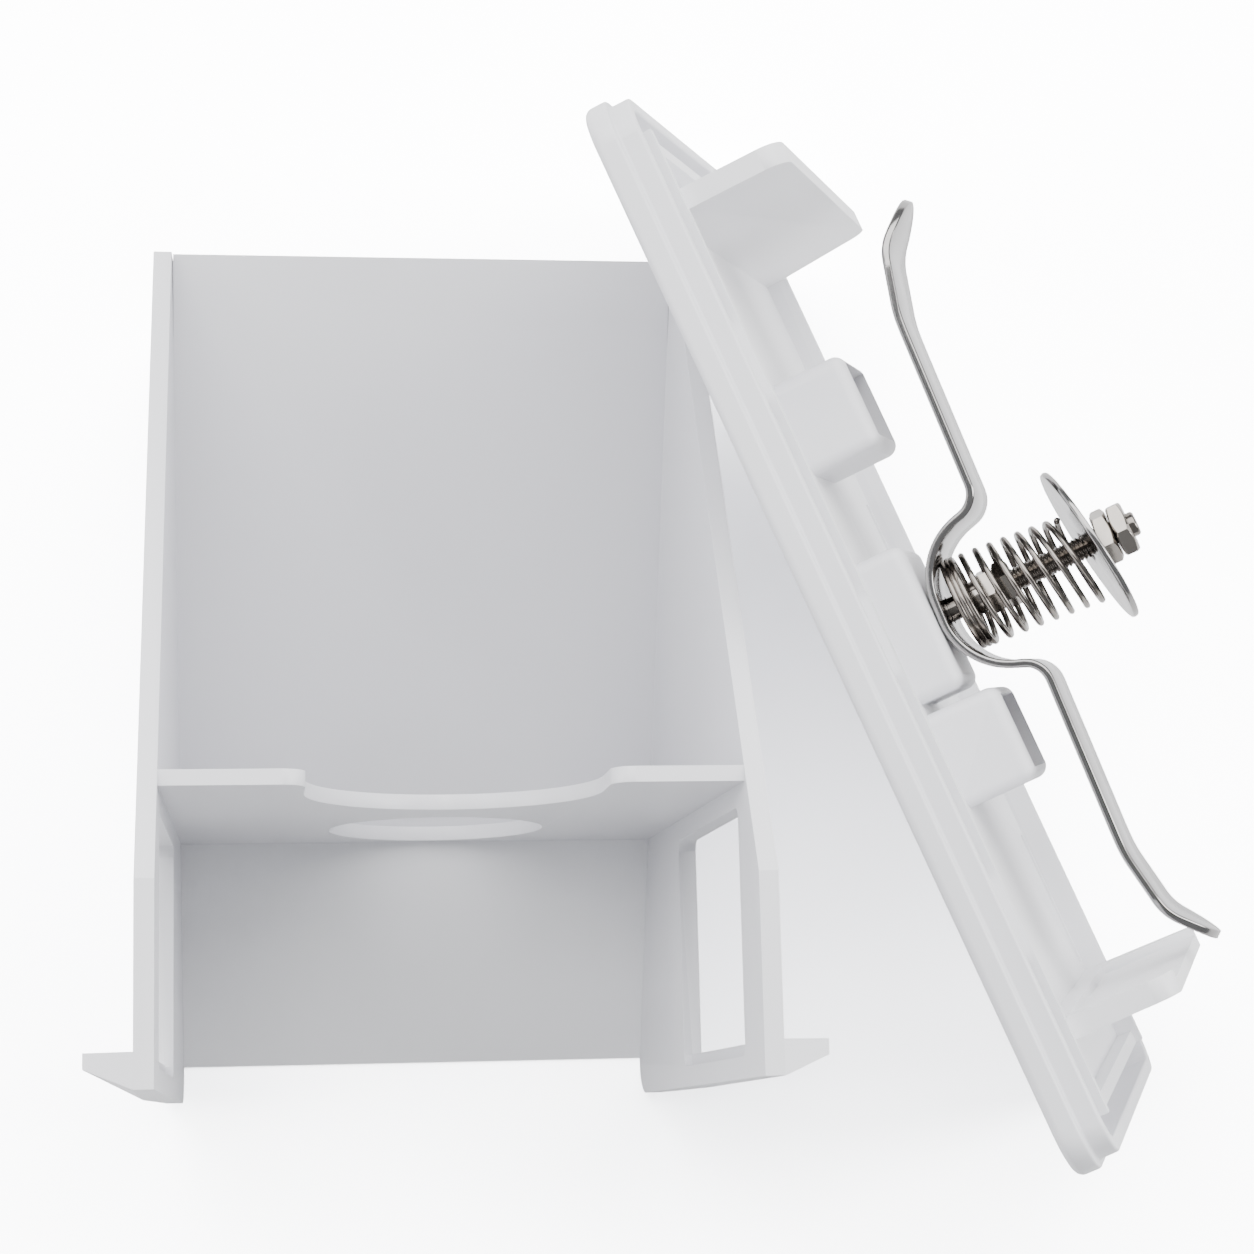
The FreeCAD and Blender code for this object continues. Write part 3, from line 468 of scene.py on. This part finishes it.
def coil(name, low, high, outer, wire, turns):
    """Compression coil whose pitch opens after its seat and whose top end leans.

    Turns are spread by an eased height: closed at the seat, open to the washer. Ring by
    ring the middle drifts down the cover and the plane of the turn tips to the washer.
    """
    steps = 44 * turns
    share = np.linspace(0, 1, steps)
    spin = 2 * np.pi * turns * share
    seat = 2.4 / turns
    closed = 0.36
    rest = np.clip((share - seat) / (1 - seat), 0, 1)
    eased = np.where(share < seat, share * closed, seat * closed + (1 - seat * closed) * rest)
    last = np.clip((share - (1 - 1.0 / turns)) * turns, 0, 1)
    eased = eased - 0.02 * last ** 2
    height = low + wire / 2 + (high - low - wire) * eased
    radius = (outer - wire) / 2
    tip_along = np.radians(TIP_ALONG) * share ** 1.2
    tip_across = np.radians(-TIP_ACROSS) * share ** 1.2
    drift = -1.9 * share ** 1.5
    x = radius * np.cos(spin)
    y = radius * np.sin(spin)
    z = -x * np.sin(tip_along) - y * np.sin(tip_across)
    middle = np.stack([x * np.cos(tip_along) + drift, y * np.cos(tip_across), z + height], -1)
    middle = middle + AXIS
    ahead = np.gradient(middle, axis=0)
    ahead /= np.linalg.norm(ahead, axis=1)[:, None]
    side = np.stack([np.cos(spin), np.sin(spin), 0 * spin], -1)
    side -= (side * ahead).sum(axis=1)[:, None] * ahead
    side /= np.linalg.norm(side, axis=1)[:, None]
    over = np.cross(ahead, side)
    around = np.linspace(0, 2 * np.pi, 14, endpoint=False)
    tube = (middle[:, None] + wire / 2 * (np.cos(around)[None, :, None] * side[:, None]
                                          + np.sin(around)[None, :, None] * over[:, None]))
    return skin(name, lean(tube), False, True, caps=True)


def bowed_line(points, radii, gap):
    """Centre line through corner points, each corner turned by an arc of its radius.

    An arc starts radius times tan(half the turn) before its corner. Points are then
    spread evenly along the whole length, gap apart.
    """
    pieces = [points[:1]]
    for before, corner, after, radius in zip(points, points[1:], points[2:], radii):
        come = (corner - before) / np.linalg.norm(corner - before)
        leave = (after - corner) / np.linalg.norm(after - corner)
        turn = np.arccos(np.clip(come @ leave, -1, 1))
        back = radius * np.tan(turn / 2)
        share = np.linspace(0, 1, 24)[:, None]
        toward = (leave - come) / np.linalg.norm(leave - come)
        centre = corner + toward * radius / np.cos(turn / 2)
        first, final = corner - come * back - centre, corner + leave * back - centre
        swept = (np.sin((1 - share) * turn) * first + np.sin(share * turn) * final) / np.sin(turn)
        pieces.append(centre + swept)
    pieces.append(points[-1:])
    line = np.concatenate(pieces)
    length = np.concatenate([[0], np.cumsum(np.linalg.norm(np.diff(line, axis=0), axis=1))])
    even = np.linspace(0, length[-1], int(length[-1] / gap))
    return np.stack([np.interp(even, length, line[:, k]) for k in range(2)], -1)


def clamp_strap(name, thick, wide, middle, tilt):
    """Bow-shaped spring strip with round spoon ends, carried along its side line.

    The section is a rounded bar, thick by wide. Within half a width of a tip, the width
    follows a circle. The spoons curl up across their width by a fraction of a millimetre.
    """
    tip = 74.4
    half = np.array([[11.5, 0], [15.8, 14.0], [54.0, 14.0], [66.65, 16.375], [tip, 23.5]])
    corners = np.concatenate([half[::-1] * [-1, 1], half])
    line = bowed_line(corners, [10, 24, 5, 13, 13, 5, 24, 10], 0.55)
    ahead = np.gradient(line, axis=0)
    ahead /= np.linalg.norm(ahead, axis=1)[:, None]
    upward = np.stack([-ahead[:, 1], ahead[:, 0]], -1)
    inward = tip - wide / 2
    beyond = np.clip((np.abs(line[:, 0]) - inward) / (wide / 2), 0, 0.9995)
    half_wide = wide / 2 * np.sqrt(1 - beyond ** 2)
    bend = np.linspace(0, 2 * np.pi, 40, endpoint=False)
    soft = 0.55
    corner_y = np.sign(np.cos(bend))
    round_y = soft * np.cos(bend)
    round_z = soft * np.sin(bend)
    flat_z = np.sign(np.sin(bend)) * (thick / 2 - soft)
    flat_z[np.abs(np.sin(bend)) < 1e-6] = 0
    corner_y[np.abs(np.cos(bend)) < 1e-6] = 0
    across = corner_y[None, :] * np.maximum(half_wide - soft, 0.01)[:, None] + round_y[None, :]
    rise = flat_z + round_z
    spoon = np.clip((np.abs(line[:, 0]) - 50) / 20, 0, 1)[:, None]
    curl = spoon * 0.5 * (across / (wide / 2)) ** 2
    lift = rise[None, :] + curl
    x = line[:, :1] + upward[:, :1] * lift
    z = line[:, 1:] + upward[:, 1:] * lift
    a = np.radians(tilt)
    grid = np.stack([x * np.cos(a) - z * np.sin(a), across, x * np.sin(a) + z * np.cos(a)], -1)
    piece = skin(name, lean(grid + AXIS + [0, 0, middle]), False, True, caps=True)
    return piece


def drill(piece, radius, low, high):
    """Cuts a round hole along the clamp axis and keeps only the result in the mesh."""
    around = np.linspace(0, 2 * np.pi, 48, endpoint=False)[None, :]
    height = np.array([low, high])[:, None]
    cutter = skin("cutter", about_axis(radius + 0 * height, height, around), False, True,
                  caps=True)
    cut = piece.modifiers.new("hole", "BOOLEAN")
    cut.object = cutter
    cut.solver = "EXACT"
    seen = piece.evaluated_get(bpy.context.evaluated_depsgraph_get())
    done = bpy.data.meshes.new_from_object(seen)
    piece.modifiers.clear()
    piece.data = done
    piece.data.shade_smooth()
    crease(piece, 40)
    bpy.data.objects.remove(cutter)


strap = clamp_strap("clamp_strap_formed", 1.6, 24.0, 15.1, 2.4)
drill(strap, 2.75, 10.0, 22.0)
spring = coil("clamp_spring_wound", COIL_LOW, COIL_HIGH, COIL_OUTER, COIL_WIRE, COIL_TURNS)
screw = threaded_screw("clamp_screw_cut", 2.36, 6.9, 24.0, 51.6, 54.2, 4.7, 3.3, 6.9)
sleeve = ring_piece("spacer_sleeve_turned", 2.42, 3.3, 19.6, 22.6)
inner_nut = hex_nut("inner_nut_cut", 8.0, 22.85, 3.0, 0.2)
stop_nut = hex_nut("stop_nut_cut", 8.0, 26.1, 3.0, 0.75)
slant = np.tan(np.radians(np.hypot(TIP_ALONG, TIP_ACROSS)))
nut_corner = NUT_FLATS * 0.58
nut_low = WASHER_MIDDLE + WASHER_SHEET / 2 + nut_corner * slant + NUT_GAP
clamp_nut = hex_nut("clamp_nut_cut", NUT_FLATS, nut_low, NUT_SHEET, 0.35)
lock_nut = hex_nut("lock_nut_cut", NUT_FLATS, nut_low + NUT_SHEET + NUT_GAP, NUT_SHEET, 0.12)
end_washer = washer("end_washer_rolled", 5.6, 31.8, WASHER_SHEET, WASHER_MIDDLE,
                    TIP_ALONG, -TIP_ACROSS)

for piece, node, slot, finish, body in (
        (strap, "clamp_strap", "nickel_strip", strap_nickel, "strap"),
        (spring, "clamp_spring", "spring_wire", wire_nickel, "coil"),
        (screw, "clamp_screw", "nickel_steel", wire_nickel, "cover"),
        (sleeve, "spacer_sleeve", "nickel_steel", nut_nickel, "cover"),
        (inner_nut, "inner_nut", "nickel_steel", nut_nickel, "cover"),
        (stop_nut, "stop_nut", "nickel_steel", nut_nickel, "cover"),
        (clamp_nut, "clamp_nut", "nickel_steel", nut_nickel, "cover"),
        (lock_nut, "lock_nut", "nickel_steel", nut_nickel, "cover"),
        (end_washer, "end_washer", "nickel_strip", strap_nickel, "cover")):
    piece.data.materials.clear()
    piece.data.materials.append(finish)
    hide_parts(node)
    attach(piece, body)
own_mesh(spring)


# ------------------------------------------------------------------ floor, light, camera

def place_floor():
    """A wide plain floor, attached to no body of the object."""
    mesh = bpy.data.meshes.new("floor")
    edge = 4.0
    mesh.from_pydata([(-edge, -edge, 0), (edge, -edge, 0), (edge, edge, 0), (-edge, edge, 0)],
                     [], [(0, 1, 2, 3)])
    floor = bpy.data.objects.new("floor", mesh)
    bpy.context.scene.collection.objects.link(floor)
    made, bench = new_material("floor_white")
    seen = bench.node("ShaderNodeLightPath").outputs["Is Camera Ray"]
    colour = mix_colour(bench, seen, (0.9, 0.9, 0.905, 1), (5.9, 5.9, 5.95, 1))
    shader = bench.node("ShaderNodeBsdfDiffuse", {"Color": colour})
    bench.node("ShaderNodeOutputMaterial", {"Surface": shader.outputs[0]})
    mesh.materials.append(made)


def soft_light(name, spot, aim, width, depth, power):
    """Rectangular soft light at a spot, facing a point."""
    data = bpy.data.lights.new(name, "AREA")
    data.shape = "RECTANGLE"
    data.size = width
    data.size_y = depth
    data.energy = power
    lamp = bpy.data.objects.new(name, data)
    bpy.context.scene.collection.objects.link(lamp)
    lamp.location = Vector(spot)
    lamp.rotation_euler = (Vector(aim) - Vector(spot)).to_track_quat("-Z", "Y").to_euler()


def place_camera():
    """Camera above the tray, tipped towards the cover, with a long lens."""
    data = bpy.data.cameras.new("camera")
    data.sensor_width = 36.0
    data.lens = 3000.0 / 1254.0 * 36.0
    data.clip_start = 0.01
    data.clip_end = 20.0
    camera = bpy.data.objects.new("camera", data)
    bpy.context.scene.collection.objects.link(camera)
    ahead = np.array([0.1382, 0.1730, -0.9752])
    right = np.array([0.9904, -0.0253, 0.1359])
    ahead /= np.linalg.norm(ahead)
    right -= (right @ ahead) * ahead
    right /= np.linalg.norm(right)
    upward = np.cross(right, ahead)
    basis = np.eye(4)
    basis[:3, :3] = np.stack([right, upward, -ahead], -1)
    basis[:3, 3] = foot + np.array([-40.4, -17.9, 602.0]) * MM
    camera.matrix_world = Matrix(basis.tolist())
    bpy.context.scene.camera = camera


place_floor()
soft_light("top_soft", (-0.1, 0.75, 1.15), (0, 0.0, 0.03), 2.2, 1.3, 42.0)
soft_light("right_soft", (0.9, 0.1, 0.6), (0, 0, 0.05), 0.35, 0.9, 9.0)
soft_light("left_soft", (-0.95, 0.0, 0.45), (0, 0, 0.05), 0.4, 0.8, 6.0)
world = bpy.data.worlds.new("studio")
world.use_nodes = True
world.node_tree.nodes["Background"].inputs["Color"].default_value = (0.95, 0.97, 1.0, 1)
world.node_tree.nodes["Background"].inputs["Strength"].default_value = 0.42
bpy.context.scene.world = world
place_camera()
